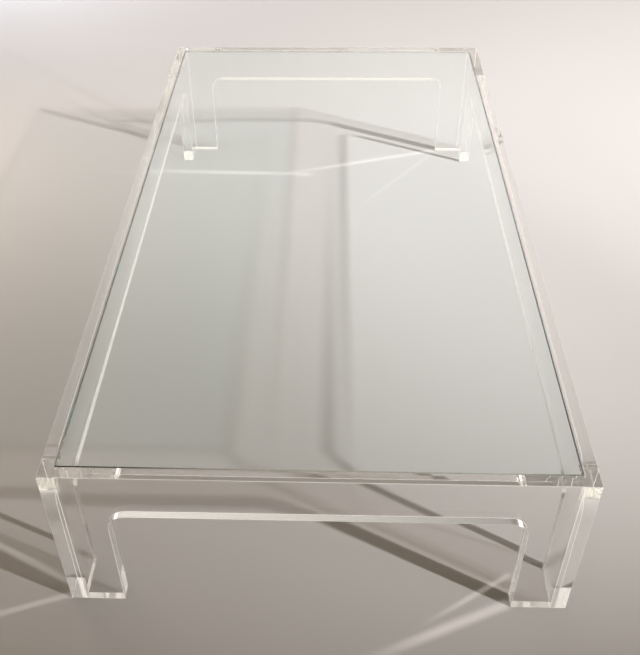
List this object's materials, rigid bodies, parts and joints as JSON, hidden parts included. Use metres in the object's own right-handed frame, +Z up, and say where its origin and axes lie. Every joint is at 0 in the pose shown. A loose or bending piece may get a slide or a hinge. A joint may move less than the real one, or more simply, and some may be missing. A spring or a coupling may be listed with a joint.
{
  "type": "coffee table",
  "caption": "Low rectangular coffee table of thick clear acrylic panels with arched cut-outs that leave corner legs, and a loose glass pane set flush in the top.",
  "frame": {"origin": "middle of the footprint, on the floor", "axes": "+Z up, +Y along the length of the table away from the pictured end, +X across its width"},
  "size_m": [0.8128, 1.524, 0.3048],
  "materials": {
    "acrylic": "clear cast acrylic, polished faces and flame-polished edges",
    "glass": "clear float glass with ground edges, slightly green in the thickness"
  },
  "bodies": {
    "frame": {"side_panel_left": "acrylic", "side_panel_right": "acrylic", "end_panel_front": "acrylic", "end_panel_back": "acrylic"},
    "glass": {"glass_pane": "glass"}
  },
  "joints": [
    {"name": "glass_lift", "type": "slide", "parent": "frame", "child": "glass", "axis": [0, 0, 1], "range_m": [0, 0.15]}
  ]
}
